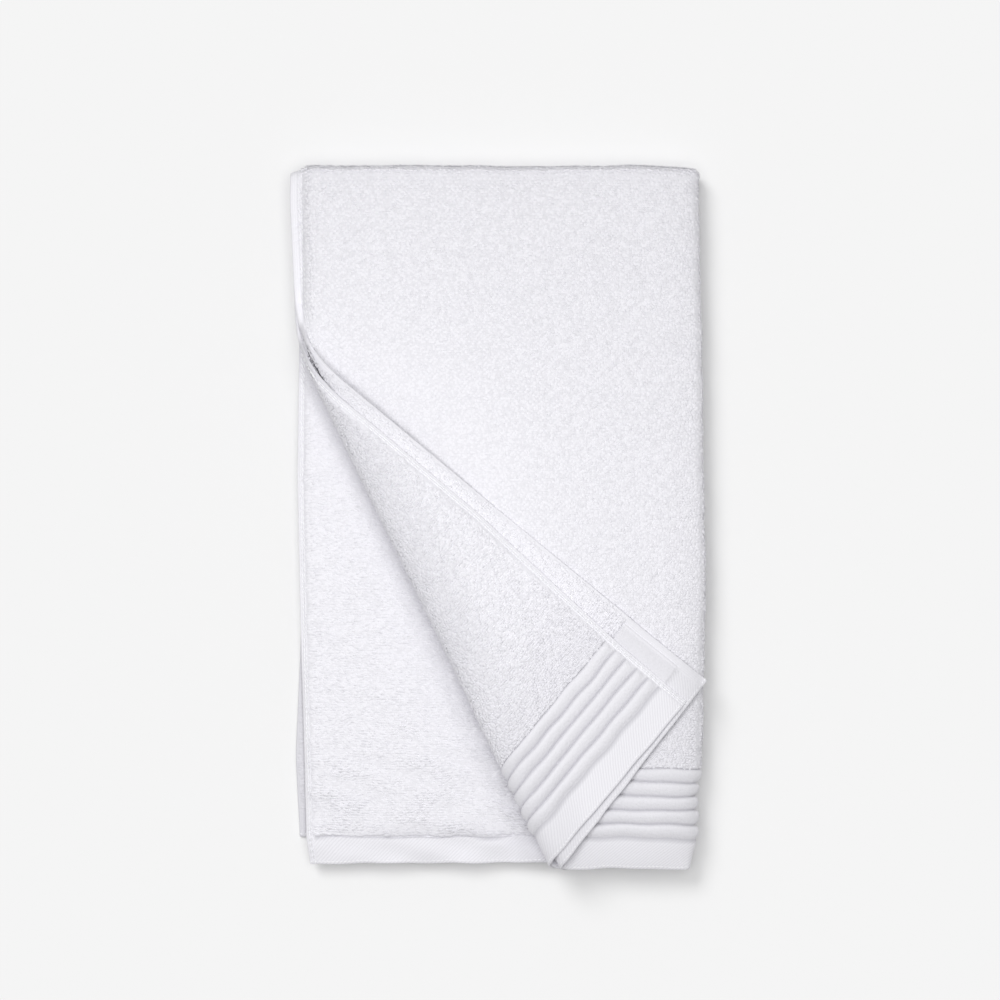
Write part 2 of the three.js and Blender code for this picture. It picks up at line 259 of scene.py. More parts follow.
def lie_flat(across, along):
    """The cloth's middle and facing after the two folds, before the corner is turned."""
    side_turn = np.clip((across - HALF_WIDTH) / SIDE_FOLD_ARC, 0, 1) * math.pi
    end_turn = np.clip((along - FRONT_LENGTH) / CROSS_FOLD_ARC, 0, 1) * math.pi
    share = np.clip(np.minimum(across, CLOTH_WIDTH - across) / HALF_WIDTH, 0, 1)
    on_back = end_turn > math.pi / 2
    front_from_hem = np.clip(along, 0, FRONT_LENGTH)
    back_from_hem = np.clip(CLOTH_LENGTH - along, 0, BACK_LENGTH)
    from_hem = np.where(on_back, back_from_hem, front_from_hem)
    under = (1 - np.cos(side_turn)) / 2

    def hem(upper, lower):
        return lerp(look_up(HEMS, "share", upper, share), look_up(HEMS, "share", lower, share), under)

    hem_y = np.where(on_back, hem("back_upper", "back_lower"), hem("upper", "lower"))
    near_selvedge = 1 - np.clip(share / SELVEDGE_DROP_SHARE, 0, 1)
    near_fold = np.clip((share - FOLD_DROP_FROM) / (1 - FOLD_DROP_FROM), 0, 1)
    top = CROSS_FOLD_Y - CROSS_DROP_AT_SELVEDGE * near_selvedge - CROSS_DROP_AT_FOLD * near_fold
    kept = np.where(on_back, BACK_BORDER, RIB_END) + STRIP_STEP
    length = np.where(on_back, BACK_LENGTH, FRONT_LENGTH)
    beyond = np.clip((from_hem - kept) / (length - kept), 0, 1)
    straight_y = hem_y + np.minimum(from_hem, kept) + beyond * (top - hem_y - kept)

    def edge(name):
        front = look_up(FRONT_EDGES, "y", name, straight_y)
        return np.where(on_back, look_up(BACK_EDGES, "y", name, straight_y), front)

    selvedge_x = lerp(edge("upper"), edge("lower"), under)
    fold_x = edge("fold") + FOLD_WANDER * edge_waves.at(along, along)
    outward = FOLD_RADIUS * np.cos(side_turn)
    cross_radius = LAYER_PITCH + outward
    level = np.cos(side_turn)
    from_selvedge = share * (fold_x - selvedge_x)
    first = (across < CLOTH_WIDTH / 2)[:, None]
    strip, dips = (np.where(first, SELVEDGES[0][key], SELVEDGES[1][key])
                   for key in ("strip", "dips"))
    lift = LIFT * lie_waves.at(across, along) * np.clip(from_selvedge / LIFT_REACH, 0, 1)
    ripple = RIPPLE * ripple_waves.at(across, along) * np.exp(-(from_hem / RIPPLE_REACH) ** 2)
    points = np.stack([
        lerp(selvedge_x, fold_x, share) + FOLD_RADIUS * np.sin(side_turn),
        straight_y + cross_radius * np.sin(end_turn) + END_WANDER * edge_waves.at(across, along),
        (2 * LAYER_PITCH + cross_radius * np.cos(end_turn) + lift * (end_turn == 0)
         + ripple * (on_back & (under > 0.5))),
    ], axis=-1)
    faces = np.stack([
        np.sin(side_turn), level * np.sin(end_turn), level * np.cos(end_turn)], axis=-1)
    return {
        "points": points,
        "faces": faces,
        "depth": FOLD_RADIUS - outward,
        "from_selvedge": from_selvedge,
        "from_hem": from_hem,
        "strip": strip[:, 0],
        "dips": dips,
        "on_back": on_back,
        "turns": (end_turn == 0) & ((side_turn == 0) | (side_turn == math.pi)),
    }


def roll_start(radius):
    """Where the roll begins on the flat cloth, and how long the slope down from it is."""
    height = radius * (1 + math.cos(DESCENT)) - LYING_PITCH
    landing_drop = LANDING_RADIUS * (1 - math.cos(DESCENT))
    slope = np.maximum((height - landing_drop) / math.sin(DESCENT), 1)
    inner_length = (math.pi + DESCENT) * radius + slope + DESCENT * LANDING_RADIUS
    reach = (radius + LANDING_RADIUS) * math.sin(DESCENT) + slope * math.cos(DESCENT)
    return (inner_length - reach) / 2, slope


def turn_corner(places):
    """Rolls the near left corner of the front half over the panel, as the solid has it."""
    points, faces = places["points"].copy(), places["faces"].copy()
    from_point = points[:, :2] - np.array(TURN_POINT)
    along = from_point @ TURN_ALONG
    radius = look_up(TURN_RADII, "along", "radius", along)
    start, slope = roll_start(radius)
    roll_radius = radius + places["depth"]
    landing_radius = LANDING_RADIUS - places["depth"]
    roll_end = (math.pi + DESCENT) * roll_radius
    past = start - from_point @ TURN_ACROSS
    angle = np.minimum(past, roll_end) / roll_radius
    sloped = np.clip(past - roll_end, 0, slope)
    landing_angle = np.clip((past - roll_end - slope) / landing_radius, 0, DESCENT)
    landing_end = roll_end + slope + DESCENT * landing_radius
    level = np.maximum(past - landing_end, 0)
    left_angle = DESCENT - landing_angle
    across = (start - roll_radius * np.sin(angle) + sloped * math.cos(DESCENT)
              + landing_radius * (math.sin(DESCENT) - np.sin(left_angle)) + level)
    rise = (roll_radius * (1 - np.cos(angle)) - sloped * math.sin(DESCENT)
            - landing_radius * (np.cos(left_angle) - math.cos(DESCENT)))
    turned = angle - landing_angle
    rolled = places["turns"] & (past > 0)
    plan = (np.array(TURN_POINT) + np.multiply.outer(along, TURN_ALONG)
            + across[:, None] * TURN_ACROSS)
    points[rolled, :2] = plan[rolled]
    points[rolled, 2] += rise[rolled]
    sideways = places["faces"][:, 2] * np.sin(turned)
    faces[rolled, :2] = (sideways[:, None] * TURN_ACROSS)[rolled]
    faces[rolled, 2] = (places["faces"][:, 2] * np.cos(turned))[rolled]
    return points, faces, np.where(rolled, turned, 0)


def drape(across, along):
    """Where places of the flat cloth lie in the folded towel, in the shared frame in mm."""
    across, along = np.broadcast_arrays(np.asarray(across, float), np.asarray(along, float))
    places = lie_flat(across.ravel(), along.ravel())
    points, faces, turned = turn_corner(places)
    points = points + np.array([*TO_CENTRE, TO_FLOOR])
    pressed = PRESSED * np.exp(-(places["from_hem"] / PRESSED_REACH) ** 2)
    points[:, 2] -= faces[:, 2] * pressed * np.where(places["on_back"], -1, 1)
    droop = DROOP * np.exp(-(places["from_selvedge"] / DROOP_REACH) ** 2)
    points[:, 2] -= droop * (turned > TURNED_OVER)
    return {**places, "points": points, "faces": faces, "turned": turned}


# The stack is fullest in its middle and sinks towards its folds and edges
CROWN = 3.6
EDGE_SINK = 1.3
SHOULDER = 5.0
SHOULDER_REACH = 7.0
CROWN_ROUNDING = 0.7
CROWN_REACH = {"right": 20, "far": 14, "left": 6, "near": 30}
STACK_TOP = 14.0
STACK_LEFT = -99.5
STACK_NEAR = -180.0

# The upper layers bulge beside the turned corner and slope down from its far edge
SWELL = 3.2
SWELL_REACH = 30.0
SWELL_FROM = 8.0
FLAP_EDGE_START = np.array([-101.3, 97.5])
FLAP_EDGE_END = np.array([104.9, -82.3])


def settle(points):
    """Lets points of the draped cloth, in mm, rise and sink as the soft stack lies."""
    x, y, z = points.T
    right = look_up(FRONT_EDGES, "y", "fold", y) + FOLD_RADIUS + TO_CENTRE[0] - x
    distances = {
        "right": right,
        "far": CROSS_FOLD_Y + LAYER_PITCH + FOLD_RADIUS - y,
        "left": x - STACK_LEFT,
        "near": y - STACK_NEAR,
    }
    fullness = np.ones(len(points))
    for side, reach in CROWN_REACH.items():
        inside = 1 - (1 - np.clip(distances[side] / reach, 0, 1)) ** 2
        fullness *= inside**CROWN_ROUNDING
    beyond = from_flap_edge(points)[1]
    bulge = np.exp(-(np.maximum(beyond, 0) / SWELL_REACH) ** 2)
    bulge *= np.clip((z - SWELL_FROM) / (STACK_TOP - SWELL_FROM), 0, 1) * fullness
    settled = points.copy()
    shoulder = np.clip(1 - distances["far"] / SHOULDER_REACH, 0, 1) ** 2
    rise = CROWN * fullness - EDGE_SINK + SHOULDER * shoulder
    settled[:, 2] += rise * np.clip(z / STACK_TOP, 0, 1) + SWELL * bulge
    return settled


def edge_rounding(from_edge):
    """The share of its thickness that the cloth has near a cut or woven edge."""
    inside = 1 - np.clip(from_edge / EDGE_ROUNDING, 0, 1)
    return lerp(EDGE_HALF / FLAT_HALF, 1, np.sqrt(1 - inside**2))


def pucker(from_selvedge, along):
    """How much of its thickness the upper layer's side strip lacks in its small creases."""
    depth = np.zeros(len(along))
    for crease in PUCKERS:
        inward = from_selvedge - PUCKER_MIDDLE
        beside = (along - crease["at"] - PUCKER_SLANT * inward) / PUCKER_WIDTH
        depth += crease["depth"] * np.exp(-beside**2 - (inward / PUCKER_REACH) ** 2)
    return depth


def seam_dips(places):
    """How deep in the dips beside the rows of stitches each place is, from 0 to 1."""
    beside = places["from_selvedge"][:, None] - places["dips"]
    return np.exp(-(beside / DIP_WIDTH) ** 2).max(axis=1)


def border_crease(places, across, along):
    """How deep in the crease beside the back half's plain border each place is, from 0 to 1."""
    tufts = TUFTS * ripple_waves.at(across, along)
    beside = places["from_hem"] - BACK_BORDER - CREASE_PLACE + tufts
    inside = np.clip((places["from_selvedge"] - places["strip"]) / STRIP_STEP, 0, 1)
    return np.exp(-(beside / CREASE_WIDTH) ** 2) * places["on_back"] * inside


def low_light(places, across):
    """How much less light each place gets than an open one, from 0 to 1, for the shade painted there.
    """
    points, turned, on_back = places["points"], places["turned"], places["on_back"]
    from_point = points[:, :2] - np.array(TO_CENTRE) - np.array(TURN_POINT)
    along = from_point @ TURN_ALONG
    radius = look_up(TURN_RADII, "along", "radius", along)
    outside = roll_start(radius)[0] - radius - LAYER_PITCH - PILE_HALF
    beyond = from_point @ TURN_ACROSS - outside
    reach = look_up(ROLL_SHADE_REACHES, "along", "over", along)
    over = np.exp(-(np.maximum(beyond, 0) / reach) ** 3) * (turned > ROLLED)
    over *= np.clip((-along - ROLL_SHADE_FROM) / ROLL_SHADE_OVER, ROLL_SHADE_LEAST, 1)
    reach = look_up(ROLL_SHADE_REACHES, "along", "beside", along)
    beside = np.exp(-(np.minimum(beyond, 0) / reach) ** 4) * on_back
    sliver = on_back & (across < CLOTH_WIDTH / 2) & (places["from_selvedge"] < SLIVER_WIDTH)
    # Painted shade on the pile just above the back half's plain border, fading in from the selvedge
    above_border = (places["from_hem"] - BACK_BORDER) / CREASE_SHADE_REACH
    shade_above_border = np.exp(-(above_border**2)) * on_back * (above_border > 0)
    inward = places["from_selvedge"] - CREASE_SHADE_FROM
    shade_above_border *= np.clip(inward / CREASE_SHADE_OVER, 0, 1)
    return np.max([ROLL_SHADE * over, BESIDE_ROLL_SHADE * beside, SLIVER_SHADE * sliver,
                   CREASE_SHADE * shade_above_border], axis=0)


def half_thickness(places, across, along):
    """Half thickness of the woven ground towards the face and towards the back."""
    from_hem, on_back = places["from_hem"], places["on_back"]
    ragged = RAGGED * pile_edge_waves.at(across, along)
    border = np.where(on_back, BACK_BORDER, RIB_END)
    tufts = (ragged + TUFTS * ripple_waves.at(across, along)) * on_back
    rise = np.clip((from_hem - border + tufts) / STRIP_STEP, 0, 1)
    unevenness = UNEVENNESS * ground_waves.at(across, along) * rise
    ground = lerp(FLAT_HALF, GROUND_HALF, rise) + unevenness
    ground -= CREASE_DEPTH * border_crease(places, across, along)
    across_rib = np.mod(np.clip((from_hem - FRONT_BORDER) / RIB_PITCH, 0, RIB_COUNT), 1)
    crown = np.sin(math.pi * across_rib**RIB_LEAN) ** RIB_FULLNESS
    in_band = ~on_back & (from_hem > FRONT_BORDER) & (from_hem < RIB_END)
    face = np.where(in_band, lerp(RIB_GROOVE_HALF, RIB_CREST_HALF, crown), ground)
    from_selvedge = places["from_selvedge"]
    inward, back_inward = (np.clip((from_selvedge - strip + ragged) / STRIP_STEP, 0, 1)
                           for strip in (places["strip"], BACK_STRIP))
    rim = np.minimum(RIB_END - from_hem, from_selvedge - BAND_INSET)
    band = lerp(BAND_RIM_HALF, BAND_BACK_HALF, np.clip((rim - BAND_LINE) / BAND_STEP, 0, 1))
    rounding = edge_rounding(np.minimum(from_selvedge, from_hem)) - pucker(from_selvedge, along)
    rounding = rounding - DIP_DEPTH * seam_dips(places)
    face = lerp(FLAT_HALF, face, inward)
    back = np.where(in_band & (rim > 0), band, lerp(FLAT_HALF, ground, back_inward))
    return [half * rounding for half in (face, back)]


def spaced(start, end, step):
    """Evenly spaced numbers from start to end, about one step apart."""
    return np.linspace(start, end, max(2, round((end - start) / step) + 1))


# Where the turned corner's roll crosses the rib band, by distance from the selvedge
ROLL_FROM = 74.0
ROLL_TO = 126.0

# How far apart the lines of the mesh are, and where they stand beside edges and dips
EDGE_LINES = (0, 0.3)
HEM_LINES = (0, 0.3, 0.9)
DIP_LINES = (-0.35, 0, 0.35)
STRIP_LINES = (0.01, 0.35, 0.7, 1.05, STRIP_STEP)
PUCKER_LINES = (-1.6, -0.7, 0, 0.7, 1.6)
BORDER_LINES_FROM = 3.0
BORDER_PITCH = 2.8
CREASE_LINES_FROM = 0.8
CREASE_PITCH = 0.4
LINES_PER_RIB = 12
STEP_PITCH = 0.8
SIDE_PITCH = 4.0
ROLL_PITCH = 2.2
SIDE_FOLD_PITCH = 0.8
CROSS_FOLD_PITCH = 1.2
FRONT_PITCH = 3.2
BACK_PITCH = 5.5
JUST_INSIDE = 0.01


def cloth_lines():
    """The lines across and along which the cloth's two skins are divided."""
    sides = []
    for selvedge in SELVEDGES:
        dips = [dip + way for dip in selvedge["dips"] for way in DIP_LINES]
        step = selvedge["strip"] + np.array(STRIP_LINES)
        sides.append(np.concatenate([
            np.unique(np.round([*EDGE_LINES, *selvedge["plain"], *dips, *step], 2)),
            spaced(step[-1], ROLL_FROM, SIDE_PITCH)[1:],
            spaced(ROLL_FROM, ROLL_TO, ROLL_PITCH)[1:],
            spaced(ROLL_TO, HALF_WIDTH, SIDE_PITCH)[1:]]))
    fold = HALF_WIDTH + spaced(0, SIDE_FOLD_ARC, SIDE_FOLD_PITCH)[1:-1]
    across = np.concatenate([sides[0], fold, (CLOTH_WIDTH - sides[1])[::-1]])
    ribs = spaced(FRONT_BORDER, RIB_END, RIB_PITCH / LINES_PER_RIB)
    rims = RIB_END - np.array([BAND_LINE + BAND_STEP, BAND_LINE, JUST_INSIDE])
    creases = [crease["at"] + way * PUCKER_WIDTH for crease in PUCKERS for way in PUCKER_LINES]
    front = np.sort(np.concatenate([
        HEM_LINES, spaced(BORDER_LINES_FROM, FRONT_BORDER, BORDER_PITCH)[:-1], ribs, rims,
        spaced(RIB_END, RIB_END + STRIP_STEP, STEP_PITCH)[1:],
        spaced(RIB_END + STRIP_STEP, FRONT_LENGTH, FRONT_PITCH)[1:], creases]))
    back = np.concatenate([
        HEM_LINES, spaced(BORDER_LINES_FROM, BACK_BORDER, BORDER_PITCH)[:-1],
        spaced(BACK_BORDER - CREASE_LINES_FROM, BACK_BORDER + STRIP_STEP, CREASE_PITCH),
        spaced(BACK_BORDER + STRIP_STEP, BACK_LENGTH, BACK_PITCH)[1:]])
    turn = FRONT_LENGTH + spaced(0, CROSS_FOLD_ARC, CROSS_FOLD_PITCH)[1:-1]
    along = np.concatenate([front, turn, (CLOTH_LENGTH - back)[::-1]])
    return across, along


def new_mesh(name, points, faces):
    """A mesh object from arrays, its points given in millimetres and then settled."""
    count, sides = faces.shape
    mesh = bpy.data.meshes.new(name)
    mesh.vertices.add(len(points))
    mesh.vertices.foreach_set("co", (settle(points) * MM).astype(np.float32).ravel())
    mesh.loops.add(count * sides)
    mesh.loops.foreach_set("vertex_index", faces.astype(np.int32).ravel())
    mesh.polygons.add(count)
    mesh.polygons.foreach_set("loop_start", np.arange(0, count * sides, sides, dtype=np.int32))
    mesh.polygons.foreach_set("loop_total", np.full(count, sides, np.int32))
    mesh.update(calc_edges=True)
    mesh.shade_smooth()
    made = bpy.data.objects.new(name, mesh)
    bpy.context.scene.collection.objects.link(made)
    return made


def add_cloth_map(piece, across, along):
    """A UV map that gives each corner its place on the flat cloth, in millimetres."""
    mesh = piece.data
    at = np.zeros(len(mesh.loops), np.int32)
    mesh.loops.foreach_get("vertex_index", at)
    layer = mesh.uv_layers.new(name="cloth")
    corners = np.stack([across[at], along[at]], axis=-1)
    layer.data.foreach_set("uv", corners.astype(np.float32).ravel())


def add_attribute(piece, name, values):
    """Gives each point of a piece a number, for its material to read."""
    made = piece.data.attributes.new(name, "FLOAT", "POINT")
    made.data.foreach_set("value", values.astype(np.float32))


# The cloth's weaves, in the order of its material slots
TERRY, RIB_BAND, BORDER, STRIP = range(4)


def zone_of(in_strip, from_hem, on_back):
    """Which weave a place of the cloth has."""
    in_border = from_hem < np.where(on_back, BACK_BORDER, FRONT_BORDER)
    in_band = ~on_back & (from_hem < RIB_END)
    zone = np.where(in_border, BORDER, np.where(in_band, RIB_BAND, TERRY))
    return np.where(in_strip, STRIP, zone)


def painted_shade_amounts(places, across, along):
    """How much shade is painted on each place of the face, then of the back, from 0 to 1."""
    # Shade is painted in the rib grooves, in the dips beside the stitches, in the back border's
    # crease, wherever little light gets in and on the back of the rib band
    past_border = places["from_hem"] - FRONT_BORDER
    nearest = np.clip(np.round(past_border / RIB_PITCH), 0, RIB_COUNT) * RIB_PITCH
    groove_shade = np.exp(-((past_border - nearest) / GROOVE_SHADE_WIDTH) ** 2)
    groove_shade *= ~places["on_back"] & (places["from_selvedge"] > places["strip"])
    seam = SEAM_PAINTED_SHADE * seam_dips(places)
    crease = border_crease(places, across, along)
    low = low_light(places, across)
    band_back = BAND_BACK_SHADE * ~places["on_back"] * (places["from_hem"] < RIB_END)
    return np.max([groove_shade, seam, crease, low], axis=0), np.max([crease, low, band_back], axis=0)


def make_towel():
    """The cloth itself: a face skin and a back skin, joined round the rim."""
    across_lines, along_lines = cloth_lines()
    along, across = (grid.ravel() for grid in np.meshgrid(along_lines, across_lines, indexing="ij"))
    places = drape(across, along)
    face_half, back_half = half_thickness(places, across, along)
    skins = [places["points"] + places["faces"] * face_half[:, None],
             places["points"] - places["faces"] * back_half[:, None]]
    points = np.concatenate(skins)
    points[:, 2] = np.maximum(points[:, 2], 0)
    rows, columns = len(along_lines), len(across_lines)
    numbers = np.arange(rows * columns).reshape(rows, columns)
    corners = [numbers[:-1, :-1], numbers[:-1, 1:], numbers[1:, 1:], numbers[1:, :-1]]
    face_quads = np.stack([corner.ravel() for corner in corners], axis=-1)
    count = rows * columns
    rim = np.concatenate([
        numbers[0, :], numbers[1:, -1], numbers[-1, -2::-1], numbers[-2:0:-1, 0]])
    following = np.roll(rim, -1)
    rim_quads = np.stack([rim, rim + count, following + count, following], axis=-1)
    quads = np.concatenate([face_quads, face_quads[:, ::-1] + count, rim_quads])
    towel = new_mesh("towel_cloth", points, quads)
    # The map of the back is mirrored, so that its twill slants the same way from behind
    add_cloth_map(towel, np.concatenate([across, -across]), np.tile(along, 2))
    corner = quads[:, 0] % count
    opposite = quads[:, 2] % count
    middle = {key: (places[key][corner] + places[key][opposite]) / 2
              for key in ("from_selvedge", "from_hem")}
    in_strip = middle["from_selvedge"] < places["strip"][corner]
    zone = zone_of(in_strip, middle["from_hem"], places["on_back"][corner])
    towel.data.polygons.foreach_set("material_index", zone.astype(np.int32))
    # Shade painted on the cloth, for its materials to read
    add_attribute(towel, "painted_shade", np.concatenate(painted_shade_amounts(places, across, along)))
    return towel


def loop_template(rings, bow):
    """One loop as it shows from outside, a small rounded grain. It lies along X from -0.5
    to 0.5, is 1 wide and 1 high, bows up in the middle, and is closed below."""
    points = [(-0.5, 0, 0)]
    for x in np.linspace(-0.5, 0.5, rings + 2)[1:-1]:
        width = math.sqrt(1 - (2 * x) ** 2)
        lift = bow * width**2
        points += [(x, -0.5 * width, lift), (x, 0, lift + 1 - bow), (x, 0.5 * width, lift)]
    points.append((0.5, 0, 0))
    last = len(points) - 1
    faces = [(0, 1, 2), (0, 2, 3), (0, 3, 1), (last, last - 2, last - 3), (last, last - 1, last - 2),
             (last, last - 3, last - 1)]
    for near in range(1, last - 3, 3):
        far = near + 3
        for side in range(3):
            beside = (side + 1) % 3
            faces += [(near + side, far + side, far + beside),
                      (near + side, far + beside, near + beside)]
    return np.array(points), np.array(faces)


# Loops of each part of the cloth, as large as the photograph shows them. heading, its
# spread and tilt are in degrees, heading 0 lies across the cloth, and seat is how deep a
# loop's middle sits in the ground.
STYLES = {
    "panel": {"length": 1.9, "width": 1.5, "height": 0.5, "seat": 0.0,
              "heading": 4, "spread": 24, "tilt": 2},
    "flap": {"length": 2.1, "width": 1.7, "height": 0.74, "seat": 0.0,
             "heading": 10, "spread": 50, "tilt": 4},
    "lower": {"length": 3.3, "width": 1.35, "height": 0.36, "seat": 0.0,
              "heading": 9, "spread": 14, "tilt": 2},
}

# How far apart the rows of loops are, and the loops in a row, and how uneven the loops are
LOOP_ROW = 1.25
LOOP_STEP = 1.35
LOOP_JITTER_ACROSS = 0.3
LOOP_JITTER_ALONG = 0.2
LOOP_SIZES = (0.8, 1.2)
LOOP_EDGE_ANGLE = math.radians(50)

# Where the pile begins, how near the floor it comes, and where the panel's is divided
PILE_FROM_BORDER = 0.6
PILE_FROM_STRIP = 0.7
LOWEST = 0.02
FAR_PILE_FROM = 80.0
NEAR_PILE_TO = -10.0

# A place counts as open where one of a few rays from just above it meets no cloth. Places
# that face the floor are left out. The length of the rays is in metres.
CLEAR_OF_CLOTH = 2.0
FACES_FLOOR = -0.75
RAY_LEANS = ((0, 0, 0), (0.9, 0, 0.35), (-0.9, 0, 0.35), (0, -0.9, 0.35), (0, 0.9, 0.35))
RAY_LEAST_RISE = 0.2
RAY_LENGTH = 0.06

# Loops are alternately a little lighter and darker
TONE_MIDDLE = 0.5
TONE_CONTRAST = (0.1, 0.5)

# Loops lie flatter and smoother on the panel beside the turned corner, and painted light
# brightens them there
FLATTENED = 0.45
FLATTENED_REACH = 45.0
FLATTENED_MIDDLE = 85.0
FLATTENED_HALF_LENGTH = 85.0
FLATTENED_BEFORE_TURN = 1.0
FLAT_PAINTED_LIGHT = 0.4

# Loops stand fuller beside the rib band, and shade is painted on them there
FULLER = 0.2
FULL_REACH = 30.0
FULL_PAINTED_SHADE = 0.45

# Loops of the lower layer and of the flap's reverse lie open, and painted light brightens them
LOWER_PAINTED_LIGHT = 0.35
REVERSE_PAINTED_LIGHT = 0.6


def from_flap_edge(points):
    """How far places lie along the turned corner's far edge, and beyond it, seen from above."""
    edge = (FLAP_EDGE_END - FLAP_EDGE_START) / np.linalg.norm(FLAP_EDGE_END - FLAP_EDGE_START)
    from_start = points[:, :2] - FLAP_EDGE_START
    return from_start @ edge, from_start @ np.array([-edge[1], edge[0]])


def loop_seeds(first_row, last_row):
    """Places of loops on the flat cloth, in rows as the loom makes them, unevenly."""
    rows = np.arange(first_row, last_row, LOOP_ROW)
    columns = np.arange(BACK_STRIP, CLOTH_WIDTH - BACK_STRIP, LOOP_STEP)
    along, across = (grid.ravel() for grid in np.meshgrid(rows, columns, indexing="ij"))
    shift = rng.uniform(0, LOOP_STEP, len(rows)).repeat(len(columns))
    across = across + shift + rng.normal(0, LOOP_JITTER_ACROSS, len(across))
    along = along + rng.normal(0, LOOP_JITTER_ALONG, len(along))
    return across, along


def in_the_open(tree, points, normals):
    """Which places of the cloth can be seen from outside, by a few rays from each."""
    seen = np.zeros(len(points), bool)
    starts = settle(points + normals * CLEAR_OF_CLOTH) * MM
    for number, (start, normal) in enumerate(zip(starts, normals)):
        if normal[2] < FACES_FLOOR:
            continue
        start = Vector(start)
        normal = Vector(normal)
        for lean in RAY_LEANS:
            way = (normal + Vector(lean)).normalized()
            if way.dot(normal) <= RAY_LEAST_RISE:
                continue
            if tree.ray_cast(start, way, RAY_LENGTH)[0] is None:
                seen[number] = True
                break
    return seen


# A short way on the cloth, to find which way across and along lead in the folded towel
SHORT_WAY = 0.2
TINY = 1e-9


def directions(places, across, along, outward):
    """Unit vectors at places of the draped cloth: out of it, across it and along it."""
    normal = places["faces"] * outward[:, None]
    right = drape(across + SHORT_WAY, along)["points"] - places["points"]
    right -= (right * normal).sum(axis=1)[:, None] * normal
    right /= np.linalg.norm(right, axis=1)[:, None] + TINY
    ahead = np.cross(normal, right)
    forward = drape(across, along + SHORT_WAY)["points"] - places["points"]
    ahead *= np.where((ahead * forward).sum(axis=1) < 0, -1, 1)[:, None]
    return normal, right, ahead


def flat_and_full(places):
    """How much flatter and how much fuller the loops stand at each place, from 0 to 1."""
    beside_edge, beyond_edge = from_flap_edge(places["points"])
    flattened = np.exp(-(beyond_edge / FLATTENED_REACH) ** 2
                       - ((beside_edge - FLATTENED_MIDDLE) / FLATTENED_HALF_LENGTH) ** 2)
    flattened *= places["turned"] < FLATTENED_BEFORE_TURN
    fuller = np.exp(-((places["from_hem"] - RIB_END) / FULL_REACH) ** 2) * ~places["on_back"]
    return flattened, fuller


def loops_mesh(name, look, across, along, outward, template, turn=0):
    """Joined loops at places of the cloth, on its face where outward is 1, else its back.
    turn is added to their heading, in degrees."""
    count = len(across)
    odd = (np.floor(across / LOOP_STEP) + np.floor(along / LOOP_ROW)) % 2 == 1
    places = drape(across, along)
    normal, right, ahead = directions(places, across, along, outward)
    heading = np.radians(look["heading"] * heading_waves.at(across, along)
                         + rng.uniform(-look["spread"], look["spread"], count) + turn)
    tilt = np.radians(rng.normal(0, look["tilt"], count))
    axis = np.cos(heading)[:, None] * right + np.sin(heading)[:, None] * ahead
    axis = np.cos(tilt)[:, None] * axis + np.sin(tilt)[:, None] * normal
    side = np.cross(normal, axis)
    side /= np.linalg.norm(side, axis=1)[:, None]
    up = np.cross(axis, side)
    length, width, height = rng.uniform(*LOOP_SIZES, (3, count))
    flattened, fuller = flat_and_full(places)
    height *= 1 - FLATTENED * flattened + FULLER * fuller
    face_half, back_half = half_thickness(places, across, along)
    half = np.where(outward > 0, face_half, back_half)
    seat = places["points"] + normal * (half - look["seat"])[:, None]
    shape, faces = template
    edges = np.stack([axis * (look["length"] * length)[:, None],
                      side * (look["width"] * width)[:, None],
                      up * (look["height"] * height)[:, None]], axis=1)
    points = (seat[:, None, :] + shape @ edges).reshape(-1, 3)
    points[:, 2] = np.maximum(points[:, 2], LOWEST)
    numbers = np.arange(count)[:, None, None] * len(shape) + faces
    made = new_mesh(name, points, numbers.reshape(-1, 3))
    made.data.set_sharp_from_angle(angle=LOOP_EDGE_ANGLE)
    tone_and_painted_light = TONE_MIDDLE + rng.uniform(*TONE_CONTRAST, count) * np.where(odd, 1, -1)
    # Painted light and shade are added to each loop's tone: beside the turned corner, beside the rib
    # band, on the lower layer and on the flap's reverse
    tone_and_painted_light += FLAT_PAINTED_LIGHT * flattened - FULL_PAINTED_SHADE * fuller + LOWER_PAINTED_LIGHT * places["on_back"]
    tone_and_painted_light += REVERSE_PAINTED_LIGHT * ((places["turned"] > TURNED_OVER) & (outward < 0))
    add_attribute(made, "tone_and_painted_light", tone_and_painted_light.repeat(len(shape)))
    # Shade painted on the loops where little light gets in
    add_attribute(made, "painted_shade", low_light(places, across).repeat(len(shape)))
    add_cloth_map(made, across.repeat(len(shape)), along.repeat(len(shape)))
    return made


# Stitches are drawn like long flat loops
STITCHES = {
    "selvedge": {"length": 3.0, "width": 0.8, "height": 0.6, "seat": 0.1,
                 "heading": 0, "spread": 4, "tilt": 1},
    "hem": {"length": 1.9, "width": 0.7, "height": 0.3, "seat": 0.1,
            "heading": 0, "spread": 8, "tilt": 2},
}
SELVEDGE_STITCH_PITCH = 2.7
HEM_STITCH_PITCH = 2.3
HEM_STITCHES_FROM = 0.8


def make_stitches(template):
    """Two rows of flat stitches along each selvedge, on its face, and one along each hem, on
    both sides."""
    lengthwise = spaced(HEM_STITCH, CLOTH_LENGTH - HEM_STITCH, SELVEDGE_STITCH_PITCH)
    columns = [column for first, second in zip(SELVEDGES[0]["rows"], SELVEDGES[1]["rows"])
               for column in (first, CLOTH_WIDTH - second)]
    crosswise = spaced(HEM_STITCHES_FROM, CLOTH_WIDTH - HEM_STITCHES_FROM, HEM_STITCH_PITCH)
    rows = [HEM_STITCH, CLOTH_LENGTH - HEM_STITCH]
    seeds = {
        "selvedge": (np.repeat(columns, len(lengthwise)), np.tile(lengthwise, len(columns))),
        "hem": (np.tile(crosswise, len(rows)), np.repeat(rows, len(crosswise))),
    }
    made = []
    for kind, side, outward, turn in (
            ("selvedge", "face", 1, 90), ("hem", "face", 1, 0), ("hem", "back", -1, 0)):
        across, along = seeds[kind]
        made.append(loops_mesh(f"{kind}_stitches_{side}", STITCHES[kind], across, along,
                               np.full(len(across), outward), template, turn))
    return made


